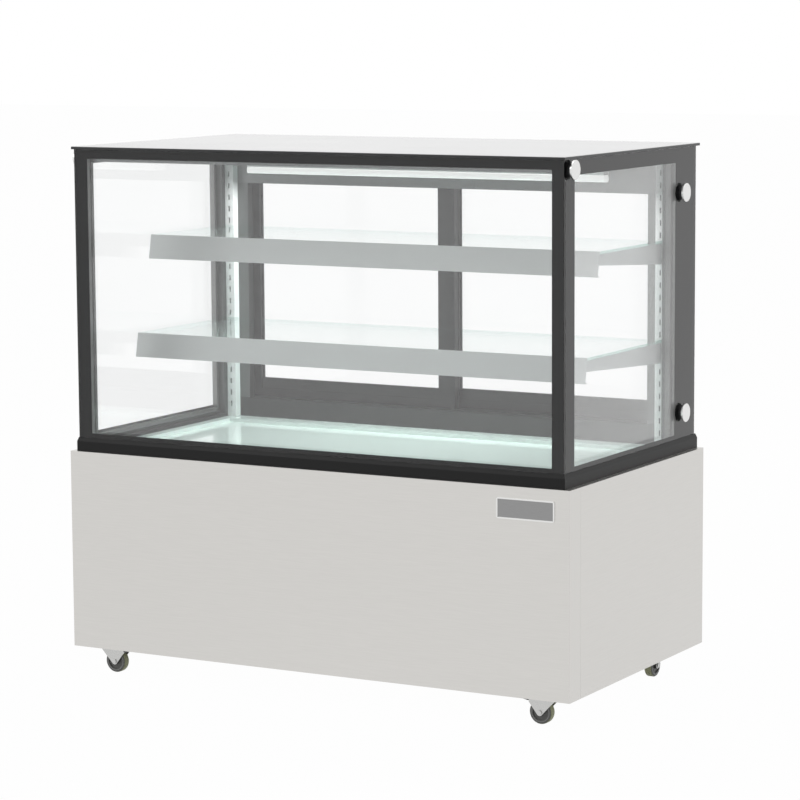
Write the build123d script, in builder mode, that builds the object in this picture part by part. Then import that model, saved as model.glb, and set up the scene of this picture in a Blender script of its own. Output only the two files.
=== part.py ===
from build123d import *
import os
from math import cos, radians, sin

os.makedirs("parts", exist_ok=True)

# Refrigerated display case on casters, in millimetres.
# +X is the shopper's right, +Y points to the back (the shop assistant's side), +Z is up.
# The origin is on the floor, under the middle of the case.

# Overall size
width = 1200.0
depth = 660.0
height = 1145.0
half_width = width / 2
front_y = -depth / 2
rear_y = depth / 2
proud = 2.0                    # badge, screws and top panel stand this far out of the base

# Base cabinet
base_bottom = 58.5
base_top = 488.0
sheet = 1.5
fold_back = 50.0               # the front panel wraps round the corners by this much
flange = 20.0
pan_sheet = 2.0
pan_bottom = 60.0
pan_lip = 25.0

# Plinth moulding and glass enclosure
plinth_x = 586.0
plinth_front = -324.0
plinth_rear = 328.0
plinth_wall = 35.0
plinth_top = 518.0
plinth_seat = 500.0
plinth_lip_top = 506.0
plinth_bevel = (8.5, 3.0)
mitre_kerf = 0.3
glass_x = 582.0
glass_front = -320.0
glass_rear = 320.0
slab_thick = 6.0
slab_front = -325.0
glass_top = height - slab_thick
outer_pane = 6.0
inner_pane = 4.0
unit_thick = 22.0
inner_x = glass_x - unit_thick
inner_front = glass_front + unit_thick
front_pane_lap = 3.5           # the inner front pane laps the inner side panes by this much
corner_seal_gap = 0.5
spacer_section = 8.0
spacer_inset = 12.0
inner_pane_rear = 215.0

# Rear frame: posts, header and sill round the two sliding doors
frame_front = 250.0
frame_x = 575.5
post_inner_x = 502.5
jamb_x = 528.0
jamb_front = 272.0
sill_top = 542.5
header_bottom = 1037.5
track_ceiling = 1073.0
groove_width = 7.0
groove_depth = 8.0

# Sliding doors
door_thick = 17.0
door_front_y = 275.0
door_pitch = 21.0
stile = 41.0
door_outer_x = 527.0
door_bottom = 543.0
door_top = 1071.5
rail_step = 562.5
rail_top = 586.5
rail_recess = 3.0
top_rail_bottom = 1040.0
door_pane = 5.0
fin = 4.0
joint_gap = 0.2
pull_length = 120.0
pull_width = 14.0
pull_depth = 6.0
pull_height = 800.0

# Deck, shelves and their standards
deck_x = 550.5
deck_front = -288.5
deck_rear = 249.5
deck_top = 498.5
deck_well = (528.0, -265.0, 200.0, 489.0)
standard_x = (529.0, 550.8)
standard_y = (230.0, 249.8)
standard_z = (499.0, 1110.0)
standard_middle = 540.5
slot_pitch = 26.5
slot_first = 528.0
slot_count = 22
slot_size = (4.0, 12.0)
shelf_glass = 6.0
shelf_rear = 228.0
shelf_x = 546.0
upper_shelf = (-83.2, 941.2)
lower_shelf = (-141.0, 729.2)
lip_height = 52.4
lip_lean = 9.9
lip_thick = 2.0
bracket_x = (539.0, 542.0)
bracket_nose = 22.6
bracket_root = 45.0
bracket_flange = 13.0

# Lamp under the top panel
lamp_x = 444.0
lamp_y = 166.0
lamp_joint_z = 1080.5
lamp_height = 14.5
lamp_rail_width = (40.0, 22.0)

# Glass fixing discs: (y, z) on both sides
fixing_points = ((-290.0, 1118.5), (249.0, 1043.5), (253.0, 572.5))
front_fixing = fixing_points[0]
fixing_cap_r = 20.0
fixing_cap_thick = 5.0
fixing_stand_off = 12.0
fixing_neck_r = 15.5
fixing_stem_r = 5.0
fixing_hole_r = 6.0
stem_clearance = 0.2

# Machine compartment
well_bottom = 360.0
well_top = 486.4
well_floor = 392.0
compressor_at = (190.0, 20.0)
condenser_x = (-340.0, -90.0)
condenser_z = (80.0, 300.0)
fan_centre = (-215.0, 190.0)
fan_r = 98.0
controller_at = (430.0, 325.0)
light_switch_x = 365.0
power_switch_x = 325.0
rocker_size = (20.0, 26.0)
gland_at = (520.0, 110.0)
gland_bore_r = 4.2

# Casters
caster_x = 535.0
front_caster_y = -285.0
rear_caster_y = 230.0
trail = 18.0
wheel_r = 25.0
wheel_width = 18.0
axle_r = 3.0
axle_clearance = 0.05
kingpin_r = 4.0
fork_gap = 20.4
fork_sheet = 2.5
pedal_at = (38.0, 47.0)
pedal_pin_r = 2.0


def block(x, y, z, mode=Mode.ADD):
    """Add a box to the open piece, from its low and high limits along X, Y and Z."""
    with Locations(((x[0] + x[1]) / 2, (y[0] + y[1]) / 2, (z[0] + z[1]) / 2)):
        Box(x[1] - x[0], y[1] - y[0], z[1] - z[0], mode=mode)


def rod(start, end, radius, mode=Mode.ADD):
    """Add a round rod to the open piece, from one end's centre to the other's."""
    run = Vector(*end) - Vector(*start)
    with Locations(Plane(origin=start, z_dir=run)):
        Cylinder(radius, run.length, align=(Align.CENTER, Align.CENTER, Align.MIN), mode=mode)


def both(low, high):
    """Limits that are the same on both sides of the case, as two X ranges."""
    return (low, high), (-high, -low)


def span(reach):
    """Limits from -reach to +reach."""
    return (-reach, reach)


def save(piece, node):
    piece.part.label = node
    export_step(piece.part, f"parts/{node}.step")


# Base pan: the floor of the machine compartment, folded up all round
pan_gap = 0.1
pan_x = half_width - sheet - pan_gap
pan_y = rear_y - sheet - pan_gap
with BuildPart() as base_pan:
    block(span(pan_x), span(pan_y), (pan_bottom, pan_bottom + pan_lip))
    block(
        span(pan_x - pan_sheet),
        span(pan_y - pan_sheet),
        (pan_bottom + pan_sheet, pan_bottom + pan_lip),
        Mode.SUBTRACT,
    )
    for caster_y in (front_caster_y, rear_caster_y):
        for side in (-1, 1):
            rod(
                (side * caster_x, caster_y, pan_bottom),
                (side * caster_x, caster_y, pan_bottom + pan_sheet),
                kingpin_r + axle_clearance,
                Mode.SUBTRACT,
            )
save(base_pan, "base_pan")


# Front panel: one folded sheet that wraps both front corners
fold_rear = front_y + fold_back
with BuildPart() as front_panel:
    block(span(half_width), (front_y, front_y + sheet), (base_bottom, base_top))
    for wall, lip in zip(both(half_width - sheet, half_width), both(half_width - flange, half_width)):
        block(wall, (front_y, fold_rear), (base_bottom, base_top))
        block(lip, (fold_rear - sheet, fold_rear), (pan_bottom + pan_lip + 1.0, base_top))
        block(lip, (front_y, fold_rear), (base_top - sheet, base_top))
    block(span(half_width), (front_y, front_y + flange), (base_top - sheet, base_top))
    corners = front_panel.edges().filter_by(Axis.Z).group_by(Axis.Y)[0]
    fillet(corners.group_by(SortBy.LENGTH)[-1], 1.4)
save(front_panel, "front_panel")


# Side panels: folded sheets between the front panel and the rear panel
screw_x = 586.0
screw_heights = (95.0, 185.0, 275.0, 365.0, 455.0)
screw_shank_r = 2.0
rear_panel_y = rear_y - sheet
for side, node in ((-1, "left_side_panel"), (1, "right_side_panel")):
    with BuildPart() as side_panel:
        outer = sorted((side * half_width, side * (half_width - sheet)))
        folded = sorted((side * half_width, side * (half_width - flange - 5.0)))
        block(outer, (fold_rear + joint_gap, rear_y), (base_bottom, base_top))
        block(folded, (fold_rear + joint_gap, rear_panel_y - joint_gap), (base_top - sheet, base_top))
        block(
            folded,
            (rear_panel_y - joint_gap - sheet, rear_panel_y - joint_gap),
            (pan_bottom + pan_lip + 1.0, base_top),
        )
        for screw_z in screw_heights:
            rod(
                (side * screw_x, rear_panel_y - 5.0, screw_z),
                (side * screw_x, rear_panel_y, screw_z),
                screw_shank_r + 0.2,
                Mode.SUBTRACT,
            )
    save(side_panel, node)


# Rear panel with its louvre slots, the control cut-outs and the cord gland's hole
louvre_groups = ((-215.0, 14), (150.0, 8))
louvre_columns = 2
louvre_length = 110.0
louvre_height = 7.0
louvre_pitch = 15.0
louvre_top = 300.0
control_plate = (190.0, 56.0)
control_centre_x = 382.0
with BuildPart() as rear_panel:
    rear_panel_x = half_width - sheet - joint_gap
    block(span(rear_panel_x), (rear_panel_y, rear_y), (pan_bottom + 2.0, base_top - sheet - joint_gap))
    for group_x, rows in louvre_groups:
        middle_z = louvre_top - (rows - 1) * louvre_pitch / 2
        with BuildSketch(Plane.XZ.offset(-rear_y)):
            with Locations((group_x, middle_z)):
                with GridLocations(louvre_length + 14.0, louvre_pitch, louvre_columns, rows):
                    SlotOverall(louvre_length, louvre_height)
        extrude(amount=sheet, mode=Mode.SUBTRACT)
    with BuildSketch(Plane.XZ.offset(-rear_y)):
        with Locations((control_centre_x, controller_at[1])):
            Rectangle(control_plate[0] - 20.0, control_plate[1] - 16.0)
        with Locations(gland_at):
            Circle(8.2)
        for side in (-1, 1):
            for screw_z in screw_heights:
                with Locations((side * screw_x, screw_z)):
                    Circle(screw_shank_r + 0.2)
    extrude(amount=sheet, mode=Mode.SUBTRACT)
save(rear_panel, "rear_panel")


# Screws that hold the rear panel to the side panels' flanges
screw_head_r = 4.0
with BuildPart() as rear_panel_screws:
    for side in (-1, 1):
        for screw_z in screw_heights:
            at = (side * screw_x, screw_z)
            rod((at[0], rear_panel_y - 4.5, at[1]), (at[0], rear_y, at[1]), screw_shank_r)
            rod((at[0], rear_y, at[1]), (at[0], rear_y + proud, at[1]), screw_head_r)
save(rear_panel_screws, "rear_panel_screws")


# Plinth: four mitred lengths of moulding with a seat for the glass
with BuildPart() as plinth_frame:
    block(span(plinth_x), (plinth_front, plinth_rear), (base_top, plinth_top))
    chamfer(
        plinth_frame.faces().sort_by(Axis.Z)[-1].edges(),
        length=plinth_bevel[1],
        length2=plinth_bevel[0],
        reference=plinth_frame.faces().sort_by(Axis.Z)[-1],
    )
    block(
        span(glass_x + 0.3),
        (glass_front - 0.3, glass_rear + 0.3),
        (plinth_seat, plinth_top),
        Mode.SUBTRACT,
    )
    block(span(inner_x - 0.5), (inner_front + 0.5, plinth_rear - plinth_wall), (plinth_seat, plinth_lip_top))
    block(
        span(plinth_x - plinth_wall),
        (plinth_front + plinth_wall, plinth_rear - plinth_wall),
        (base_top, plinth_top),
        Mode.SUBTRACT,
    )
    for side in (-1, 1):
        for end_y, turn in ((plinth_front, 1), (plinth_rear, -1)):
            middle = Location(
                (side * (plinth_x - plinth_wall / 2), end_y + turn * plinth_wall / 2, base_top + 15.0),
                (0, 0, -45 * side * turn),
            )
            with Locations(middle):
                Box(80.0, mitre_kerf, 60.0, mode=Mode.SUBTRACT)
save(plinth_frame, "plinth_frame")


# Badge plate: a bare raised plate with a rim
badge_centre = (502.0, 443.0)
badge_size = (129.5, 43.0)
badge_rim = 3.0
with BuildPart() as badge_plate:
    with BuildSketch(Plane.XZ.offset(-front_y)):
        with Locations(badge_centre):
            RectangleRounded(*badge_size, 5.0)
    extrude(amount=proud)
    with BuildSketch(Plane.XZ.offset(-front_y + proud)):
        with Locations(badge_centre):
            RectangleRounded(badge_size[0] - 2 * badge_rim, badge_size[1] - 2 * badge_rim, 3.0)
    extrude(amount=-0.8, mode=Mode.SUBTRACT)
save(badge_plate, "badge_plate")


# Insulated well under the deck, with a hole for the pipes and a drain
pipe_hole_at = (420.0, 150.0)
pipe_hole_r = 16.0
drain_at = (420.0, -20.0)
drain_r = 8.0
well_x = half_width - sheet - 1.0
cavity = (546.0, -284.0, 246.0)
with BuildPart() as insulated_well:
    block(span(well_x), (front_y + 2.0, rear_panel_y - 3.0), (well_bottom, well_top))
    block(span(cavity[0]), (cavity[1], cavity[2]), (well_floor, well_top), Mode.SUBTRACT)
    for side in (-1, 1):
        fold = sorted((side * (half_width - flange - 6.0), side * half_width))
        block(fold, (front_y, fold_rear + 1.0), (well_bottom, well_top), Mode.SUBTRACT)
        block(fold, (rear_panel_y - 8.0, rear_y), (well_bottom, well_top), Mode.SUBTRACT)
    rod((*pipe_hole_at, well_bottom), (*pipe_hole_at, well_floor), pipe_hole_r, Mode.SUBTRACT)
    rod((*drain_at, well_bottom), (*drain_at, well_floor), drain_r, Mode.SUBTRACT)
save(insulated_well, "insulated_well")


# Deck pan: a tray with a raised rim, and air slots at the front and the back
air_slot = (60.0, 8.0)
air_slot_pitch = 76.0
air_slot_count = 14
tray_x, tray_front, tray_rear, tray_bottom = deck_well
with BuildPart() as deck_pan:
    block(span(deck_x), (deck_front, deck_rear), (well_top + 0.1, deck_top))
    block(
        span(deck_x - sheet),
        (deck_front + sheet, deck_rear - sheet),
        (well_top + 0.1, deck_top - sheet),
        Mode.SUBTRACT,
    )
    block(span(tray_x), (tray_front, tray_rear), (tray_bottom, deck_top))
    block(
        span(tray_x - sheet),
        (tray_front + sheet, tray_rear - sheet),
        (tray_bottom + sheet, deck_top),
        Mode.SUBTRACT,
    )
    for slot_y in (deck_front + 12.0, deck_rear - 14.0):
        with BuildSketch(Plane.XY.offset(deck_top)):
            with Locations((0, slot_y)):
                with GridLocations(air_slot_pitch, 1.0, air_slot_count, 1):
                    SlotOverall(*air_slot)
        extrude(amount=-sheet, mode=Mode.SUBTRACT)
save(deck_pan, "deck_pan")


# Front glass: a full-width outer pane and a narrower inner pane, with a gap between them
with BuildPart() as front_glass:
    block(span(glass_x), (glass_front, glass_front + outer_pane), (plinth_seat, glass_top))
    block(span(inner_x + front_pane_lap), (inner_front - inner_pane, inner_front), (plinth_seat, glass_top))
save(front_glass, "front_glass")


# Side glasses: an outer pane that butts against the front one, and an inner pane that stops
# short of the rear posts
side_pane_front = glass_front + outer_pane + 0.3
for side, node in ((-1, "left_side_glass"), (1, "right_side_glass")):
    with BuildPart() as side_glass:
        outer = sorted((side * glass_x, side * (glass_x - outer_pane)))
        inner = sorted((side * inner_x, side * (inner_x + inner_pane)))
        block(outer, (side_pane_front, glass_rear), (plinth_seat, glass_top))
        block(inner, (inner_front + 0.5, inner_pane_rear), (plinth_seat, glass_top))
        for point in fixing_points:
            rod(
                (side * (inner_x - 1.0), *point),
                (side * (glass_x + 1.0), *point),
                fixing_hole_r,
                Mode.SUBTRACT,
            )
    save(side_glass, node)


# Spacer bars sealed between the panes
spacer_z = (plinth_seat + spacer_inset, glass_top - spacer_inset)
spacer_y = (inner_front + 15.0, inner_pane_rear - 2.0)
spacer_x = inner_x + 2.0
side_gap = (inner_x + inner_pane, glass_x - outer_pane)
front_gap = (glass_front + outer_pane, inner_front - inner_pane)
with BuildPart() as glass_spacers:
    block(span(spacer_x), front_gap, spacer_z)
    block(
        span(spacer_x - spacer_section),
        front_gap,
        (spacer_z[0] + spacer_section, spacer_z[1] - spacer_section),
        Mode.SUBTRACT,
    )
    for gap in both(*side_gap):
        block(gap, spacer_y, spacer_z)
        block(
            gap,
            (spacer_y[0] + spacer_section, spacer_y[1] - spacer_section),
            (spacer_z[0] + spacer_section, spacer_z[1] - spacer_section),
            Mode.SUBTRACT,
        )
save(glass_spacers, "glass_spacers")


# Corner seals behind the ends of the front pane
seal_x = (inner_x + front_pane_lap + corner_seal_gap, glass_x - outer_pane - corner_seal_gap)
seal_y = (side_pane_front + corner_seal_gap, inner_front - 1.0)
with BuildPart() as corner_seals:
    for bar in both(*seal_x):
        block(bar, seal_y, (plinth_seat, glass_top))
save(corner_seals, "corner_seals")


# Top panel: one flat slab with eased edges
with BuildPart() as top_panel:
    block(span(plinth_x), (slab_front, rear_y + proud), (glass_top, height))
    chamfer(top_panel.faces().sort_by(Axis.Z)[-1].edges(), 1.0)
save(top_panel, "top_panel")


# Front header: the rail behind the top of the front glass
header_stem_depth = 12.0
with BuildPart() as front_header:
    block(span(inner_x - 0.5), (inner_front + 0.5, inner_front + 18.0), (glass_top - 27.0, glass_top))
    for side in (-1, 1):
        rod(
            (side * (inner_x - header_stem_depth), *front_fixing),
            (side * inner_x, *front_fixing),
            fixing_stem_r + stem_clearance,
            Mode.SUBTRACT,
        )
save(front_header, "front_header")


# Rear posts: they carry the side glasses, the shelf standards and the door jambs
stem_tip_x = frame_x - 6.0
filler_x = standard_x[1] + 0.5
with BuildPart() as rear_posts:
    for face, jamb, filler in zip(
        both(post_inner_x, frame_x), both(jamb_x, frame_x), both(filler_x, frame_x)
    ):
        block(face, (frame_front, jamb_front), (sill_top, header_bottom))
        block(jamb, (jamb_front, glass_rear), (sill_top, header_bottom))
        block(filler, (inner_pane_rear + 1.0, frame_front), (plinth_lip_top + 0.5, glass_top))
    for side in (-1, 1):
        for point in fixing_points[1:]:
            rod(
                (side * stem_tip_x, *point),
                (side * (frame_x + 1.0), *point),
                fixing_stem_r + stem_clearance,
                Mode.SUBTRACT,
            )
save(rear_posts, "rear_posts")


# Rear header with two grooves that guide the tops of the doors
door_middles = [door_front_y + door_thick / 2 + door_pitch * track for track in (0, 1)]
with BuildPart() as rear_header:
    block(span(frame_x), (frame_front, jamb_front), (header_bottom, glass_top))
    block(span(frame_x), (jamb_front, glass_rear), (track_ceiling, glass_top))
    for ends in both(jamb_x, frame_x):
        block(ends, (jamb_front, glass_rear), (header_bottom, track_ceiling))
    for groove_y in door_middles:
        groove = (groove_y - groove_width / 2, groove_y + groove_width / 2)
        block(span(jamb_x), groove, (track_ceiling, track_ceiling + groove_depth + 4.0), Mode.SUBTRACT)
    for side in (-1, 1):
        rod(
            (side * stem_tip_x, *fixing_points[1]),
            (side * (frame_x + 1.0), *fixing_points[1]),
            fixing_stem_r + stem_clearance,
            Mode.SUBTRACT,
        )
save(rear_header, "rear_header")


# Rear sill with two grooves that carry the doors
with BuildPart() as rear_sill:
    block(span(deck_x), (frame_front, plinth_rear - plinth_wall - 0.5), (base_top, sill_top))
    block(span(deck_x), (frame_front, glass_rear), (plinth_seat, sill_top))
    block(span(frame_x), (frame_front, glass_rear), (plinth_lip_top + 0.5, sill_top))
    for groove_y in door_middles:
        groove = (groove_y - groove_width / 2, groove_y + groove_width / 2)
        block(span(jamb_x), groove, (sill_top - groove_depth, sill_top), Mode.SUBTRACT)
save(rear_sill, "rear_sill")


# Sliding doors: aluminium frames with a pane held in their grooves
pane_bite = 8.0
door_inner_x = stile / 2
for side, track, name in ((-1, 0, "left"), (1, 1, "right")):
    middle_y = door_middles[track]
    low_x, high_x = sorted((side * door_outer_x, -side * door_inner_x))
    opening = (low_x + stile, high_x - stile)
    full = (middle_y - door_thick / 2, middle_y + door_thick / 2)
    thin = (full[0] + rail_recess, full[1] - rail_recess)
    pane = (middle_y - door_pane / 2, middle_y + door_pane / 2)
    pane_x = (opening[0] - pane_bite, opening[1] + pane_bite)
    pane_z = (rail_top - pane_bite, top_rail_bottom + pane_bite)
    with BuildPart() as door_frame:
        block((low_x, high_x), full, (door_bottom, rail_step))
        block(
            (opening[0] + joint_gap, opening[1] - joint_gap),
            thin,
            (rail_step, rail_top),
        )
        for upright in ((low_x, low_x + stile), (high_x - stile, high_x)):
            block(upright, full, (rail_step + joint_gap, door_top))
        block(
            (opening[0] + joint_gap, opening[1] - joint_gap),
            full,
            (top_rail_bottom, door_top),
        )
        fin_y = (middle_y - fin / 2, middle_y + fin / 2)
        block((low_x, high_x), fin_y, (sill_top - groove_depth + 1.0, door_bottom))
        for end in ((low_x, low_x + stile), (high_x - stile, high_x)):
            block(end, fin_y, (door_top, track_ceiling + groove_depth))
        slack = 0.1
        block(
            (pane_x[0] - slack, pane_x[1] + slack),
            (pane[0] - slack, pane[1] + slack),
            (pane_z[0] - slack, pane_z[1] + slack),
            Mode.SUBTRACT,
        )
        pull_x = low_x + stile / 2 if side < 0 else high_x - stile / 2
        with BuildSketch(Plane.XZ.offset(-full[1])):
            with Locations((pull_x, pull_height)):
                SlotOverall(pull_length, pull_width, rotation=90)
        extrude(amount=pull_depth, mode=Mode.SUBTRACT)
    save(door_frame, f"{name}_door_frame")
    with BuildPart() as door_glass:
        block(pane_x, pane, pane_z)
    save(door_glass, f"{name}_door_glass")


# Glass fixings: black necks against the glass, with metal caps on stems
cap_outer_x = glass_x + fixing_stand_off
cap_inner_x = cap_outer_x - fixing_cap_thick
with BuildPart() as glass_fixing_necks:
    for side in (-1, 1):
        for point in fixing_points:
            rod((side * glass_x, *point), (side * cap_inner_x, *point), fixing_neck_r)
            rod(
                (side * glass_x, *point),
                (side * cap_inner_x, *point),
                fixing_stem_r + stem_clearance,
                Mode.SUBTRACT,
            )
save(glass_fixing_necks, "glass_fixing_necks")

with BuildPart() as glass_fixing_caps:
    for side in (-1, 1):
        for point in fixing_points:
            stem_end = inner_x - header_stem_depth + 1.0 if point is front_fixing else stem_tip_x + 0.5
            rod((side * cap_inner_x, *point), (side * cap_outer_x, *point), fixing_cap_r)
            rod((side * stem_end, *point), (side * cap_inner_x, *point), fixing_stem_r)
    rims = glass_fixing_caps.edges().filter_by(GeomType.CIRCLE)
    fillet(rims.filter_by(lambda rim: abs(abs(rim.center().X) - cap_outer_x) < 0.01), 2.0)
save(glass_fixing_caps, "glass_fixing_caps")


# Shelf standards: slotted channels on the rear posts
with BuildPart() as shelf_standards:
    for outer in both(*standard_x):
        block(outer, standard_y, standard_z)
        block(
            (outer[0] + sheet, outer[1] - sheet),
            (standard_y[0] + sheet, standard_y[1]),
            standard_z,
            Mode.SUBTRACT,
        )
    slots_middle_z = slot_first + (slot_count - 1) * slot_pitch / 2
    for side in (-1, 1):
        with BuildSketch(Plane.XZ.offset(-standard_y[0])):
            with Locations((side * standard_middle, slots_middle_z)):
                with GridLocations(1.0, slot_pitch, 1, slot_count):
                    Rectangle(*slot_size)
        extrude(amount=-sheet, mode=Mode.SUBTRACT)
save(shelf_standards, "shelf_standards")


# Shelf brackets: tapered arms that hook into the standards
hook = (3.0, 5.0)
glass_gap = 0.1
with BuildPart() as shelf_brackets:
    for shelf, hooks in ((upper_shelf, (14, 15)), (lower_shelf, (6, 7))):
        top_z = shelf[1] - shelf_glass - glass_gap
        nose_y = shelf[0] + 1.4
        root_y = standard_y[0] - 0.5
        for side in (-1, 1):
            with BuildSketch(Plane.YZ.offset(side * standard_middle)):
                with BuildLine():
                    Polyline(
                        (nose_y, top_z),
                        (root_y, top_z),
                        (root_y, top_z - bracket_root),
                        (nose_y - lip_lean * bracket_nose / lip_height, top_z - bracket_nose),
                        close=True,
                    )
                make_face()
            extrude(amount=(bracket_x[1] - bracket_x[0]) / 2, both=True)
            shelf_seat = sorted((side * (bracket_x[0] - bracket_flange), side * bracket_x[0]))
            block(shelf_seat, (nose_y + 3.0, root_y), (top_z - 2.0, top_z))
            for index in hooks:
                hook_z = slot_first + index * slot_pitch
                arm = sorted((side * bracket_x[0], side * bracket_x[1]))
                block(arm, (root_y, standard_y[0] + sheet + hook[0]), (hook_z - hook[1], hook_z + hook[1]))
save(shelf_brackets, "shelf_brackets")


# Shelf front rails: leaning strips with a folded lower edge, in front of the shelf glass
lip_hem = 9.0
with BuildPart() as shelf_front_rails:
    for lip_y, lip_z in (upper_shelf, lower_shelf):
        foot_y = lip_y - lip_lean
        foot_z = lip_z - lip_height
        with BuildSketch(Plane.YZ.offset(-shelf_x - 0.5)):
            with BuildLine():
                Polyline(
                    (lip_y, lip_z),
                    (foot_y, foot_z),
                    (foot_y + lip_hem, foot_z),
                    (foot_y + lip_hem, foot_z + lip_thick),
                    (foot_y + lip_thick * 1.2, foot_z + lip_thick),
                    (lip_y + lip_thick, lip_z),
                    close=True,
                )
            make_face()
        extrude(amount=2 * shelf_x + 1.0)
save(shelf_front_rails, "shelf_front_rails")


# Shelf glasses rest on the brackets and lift off upwards
for (lip_y, lip_z), node in ((upper_shelf, "upper_shelf_glass"), (lower_shelf, "lower_shelf_glass")):
    with BuildPart() as glass_board:
        block(span(shelf_x), (lip_y + lip_thick + 0.4, shelf_rear), (lip_z - shelf_glass, lip_z))
        chamfer(glass_board.edges().filter_by(Axis.X), 0.6)
    save(glass_board, node)


# Lamp: a folded rail under the top panel with a light diffuser along its lower edge
with BuildPart() as lamp_rail:
    with BuildSketch(Plane.YZ.offset(-lamp_x)):
        with BuildLine():
            Polyline(
                (lamp_y - lamp_rail_width[1] / 2, lamp_joint_z),
                (lamp_y + lamp_rail_width[1] / 2, lamp_joint_z),
                (lamp_y + lamp_rail_width[0] / 2, glass_top),
                (lamp_y - lamp_rail_width[0] / 2, glass_top),
                close=True,
            )
        make_face()
        offset(amount=-sheet, mode=Mode.SUBTRACT)
    extrude(amount=2 * lamp_x)
save(lamp_rail, "lamp_rail")

with BuildPart() as lamp_diffuser:
    with BuildSketch(Plane.YZ.offset(-lamp_x)):
        with Locations((lamp_y, lamp_joint_z - lamp_height / 2)):
            RectangleRounded(lamp_rail_width[1], lamp_height, 5.0)
    extrude(amount=2 * lamp_x)
save(lamp_diffuser, "lamp_diffuser")


# Compressor: a domed shell on a plate with four rubber feet, its terminal box and two pipe stubs
pan_floor = pan_bottom + pan_sheet
shell_r = 78.0
compressor_feet = 17.0
shell_bottom = pan_floor + compressor_feet + 1.0
shell_height = 195.0
shell_x, shell_y = compressor_at
stub_z = shell_bottom + 120.0
stub_reach = shell_r + 8.0
with BuildPart() as compressor:
    with Locations((*compressor_at, shell_bottom + shell_height / 2)):
        Cylinder(shell_r, shell_height)
    dome_edges = compressor.edges().filter_by(GeomType.CIRCLE).sort_by(Axis.Z)
    fillet(dome_edges[-1], 55.0)
    fillet(compressor.edges().filter_by(GeomType.CIRCLE).sort_by(Axis.Z)[0], 22.0)
    block(
        (shell_x - 105.0, shell_x + 105.0),
        (shell_y - 70.0, shell_y + 70.0),
        (pan_floor + compressor_feet, pan_floor + compressor_feet + 4.0),
    )
    with Locations((*compressor_at, pan_floor)):
        with GridLocations(180.0, 110.0, 2, 2):
            Cylinder(12.0, compressor_feet, align=(Align.CENTER, Align.CENTER, Align.MIN))
    with Locations((compressor_at[0] + 84.0, compressor_at[1], shell_bottom + 95.0)):
        Box(34.0, 60.0, 70.0)
    rod((shell_x - shell_r + 5.0, shell_y, stub_z), (shell_x - stub_reach, shell_y, stub_z), 6.5)
    rod((shell_x, shell_y + shell_r - 5.0, stub_z), (shell_x, shell_y + stub_reach, stub_z), 6.5)
save(compressor, "compressor")


# Condenser: a finned block with tube bends at its ends
tube_reach = 6.0               # the tubes stand this far out of the outer fins
tube_r = 4.5


def finned_block(x, y, z, fin_pitch, tube_rows):
    """A row of fins on round tubes that are joined in pairs at alternate ends."""
    middle_y = (y[0] + y[1]) / 2
    count = int((x[1] - x[0]) / fin_pitch) + 1
    tube_pitch = (z[1] - z[0]) / tube_rows
    with Locations(((x[0] + x[1]) / 2, middle_y, (z[0] + z[1]) / 2)):
        with GridLocations((x[1] - x[0]) / (count - 1), 1.0, count, 1):
            Box(1.2, y[1] - y[0], z[1] - z[0])
    for row in range(tube_rows):
        tube_z = z[0] + tube_pitch * (row + 0.5)
        rod((x[0] - tube_reach, middle_y, tube_z), (x[1] + tube_reach, middle_y, tube_z), tube_r)
        if row + 1 < tube_rows:
            end_x = x[1] + tube_reach if row % 2 else x[0] - tube_reach
            rod((end_x, middle_y, tube_z - tube_r), (end_x, middle_y, tube_z + tube_pitch + tube_r), tube_r)


condenser_y = (262.0, 318.0)
condenser_rows = 6
coil_x = (condenser_x[0] + 4.0, condenser_x[1] - 4.0)
with BuildPart() as condenser_coil:
    finned_block(coil_x, condenser_y, condenser_z, 8.0, condenser_rows)
    for end_x in coil_x:
        block((end_x - 0.6, end_x + 0.6), condenser_y, (pan_floor, condenser_z[0]))
save(condenser_coil, "condenser_coil")


# Condenser fan shroud: a plate with a ring, and the motor on a three-armed spider
shroud_y = (255.0, 258.0)
ring_y = (225.0, 258.0)
motor_y = (155.0, 205.0)
motor_r = 38.0
shaft_r = 4.0
fan_x, fan_z = fan_centre
with BuildPart() as condenser_fan_shroud:
    block(condenser_x, shroud_y, (pan_floor, condenser_z[1]))
    rod((fan_x, ring_y[0], fan_z), (fan_x, ring_y[1], fan_z), fan_r + 8.0)
    rod((fan_x, ring_y[0], fan_z), (fan_x, ring_y[1], fan_z), fan_r + 5.0, Mode.SUBTRACT)
    rod((fan_x, motor_y[0], fan_z), (fan_x, motor_y[1], fan_z), motor_r)
    for angle in (90, 210, 330):
        tip = (
            fan_x + (fan_r + 6.5) * cos(radians(angle)),
            motor_y[1] - 4.0,
            fan_z + (fan_r + 6.5) * sin(radians(angle)),
        )
        rod((fan_x, motor_y[1] - 4.0, fan_z), tip, 3.0)
        rod(tip, (tip[0], ring_y[0] + 2.0, tip[2]), 3.0)
    rod(
        (fan_x, motor_y[1] - 30.0, fan_z),
        (fan_x, motor_y[1], fan_z),
        shaft_r + axle_clearance,
        Mode.SUBTRACT,
    )
save(condenser_fan_shroud, "condenser_fan_shroud")


# Fan blades: pitched blades on a hub, with the shaft that runs in the motor
def fan_rotor(radius, hub_r, hub_length, blade_width, shaft, shaft_length, blades):
    Cylinder(hub_r, hub_length)
    with PolarLocations((radius + hub_r) / 2 - 2.0, blades):
        Box(radius - hub_r + 4.0, blade_width, 1.6, rotation=(32, 0, 0))
    with Locations((0, 0, -hub_length / 2)):
        Cylinder(shaft, shaft_length, align=(Align.CENTER, Align.CENTER, Align.MAX))


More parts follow.
